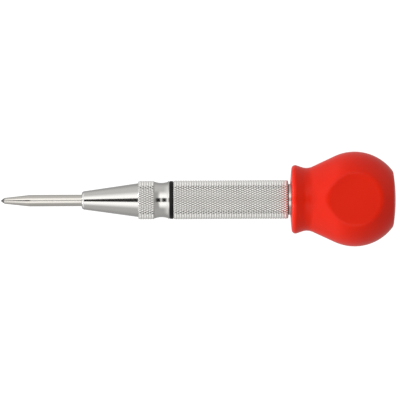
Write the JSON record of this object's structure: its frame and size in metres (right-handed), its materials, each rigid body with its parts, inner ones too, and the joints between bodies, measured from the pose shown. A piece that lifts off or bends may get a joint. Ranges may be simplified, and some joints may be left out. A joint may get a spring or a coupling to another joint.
{
  "type": "automatic nail setter",
  "caption": "Spring-loaded hand punch for setting nails: pointed steel pin, conical nose, knurled round barrel and a red bulb-shaped palm cap that screws in and out.",
  "frame": {"origin": "middle of the knurled barrel, on the tool's axis", "axes": "+X along the tool's axis towards the palm cap, so the point is at -X; +Z is the outward normal of the cap's upper flat, up when the tool lies on its lower flat"},
  "size_m": [0.1379, 0.0332, 0.0274],
  "materials": {
    "pin_steel": "ground satin",
    "chrome": "bright plated",
    "barrel_chrome": "bright plated over knurling",
    "black_rubber": "smooth",
    "rod_steel": "turned",
    "hammer_steel": "hardened and oiled",
    "spring_steel": "drawn wire",
    "brass": "turned",
    "red_plastic": "moulded gloss"
  },
  "bodies": {
    "barrel": {"barrel": "barrel_chrome", "nose_cone": "chrome", "nose_seal": "black_rubber", "return_spring": "spring_steel", "main_spring": "spring_steel"},
    "punch": {"punch_pin": "pin_steel"},
    "rod": {"release_rod": "rod_steel"},
    "hammer": {"hammer": "hammer_steel"},
    "seat": {"spring_seat": "hammer_steel"},
    "cap": {"palm_cap": "red_plastic", "thread_insert": "brass"}
  },
  "joints": [
    {"name": "punch_stroke", "type": "slide", "parent": "barrel", "child": "punch", "axis": [1, 0, 0], "range_m": [0, 0.007], "stiffness_N_per_m": 670, "springref_m": -0.004, "deforming": ["return_spring"]},
    {"name": "rod_centre", "type": "hinge", "parent": "punch", "child": "rod", "pos_m": [-0.0316, 0, 0], "axis": [0, 1, 0], "range_deg": [0, 1.8]},
    {"name": "hammer_lift", "type": "slide", "parent": "barrel", "child": "hammer", "axis": [1, 0, 0], "range_m": [0, 0.007], "stiffness_N_per_m": 11000, "springref_m": -0.003, "deforming": ["main_spring"]},
    {"name": "seat_advance", "type": "slide", "parent": "barrel", "child": "seat", "axis": [1, 0, 0], "range_m": [-0.00055, 0.005]},
    {"name": "cap_turn", "type": "hinge", "parent": "seat", "child": "cap", "pos_m": [0.043, 0, 0], "axis": [1, 0, 0], "range_deg": [-200, 1800]}
  ],
  "couplings": [
    {"joint": "rod_centre", "follows": "punch_stroke", "rad_per_m": 4.487},
    {"joint": "hammer_lift", "follows": "punch_stroke", "ratio": 1},
    {"joint": "cap_turn", "follows": "seat_advance", "rad_per_m": 6283.2}
  ]
}
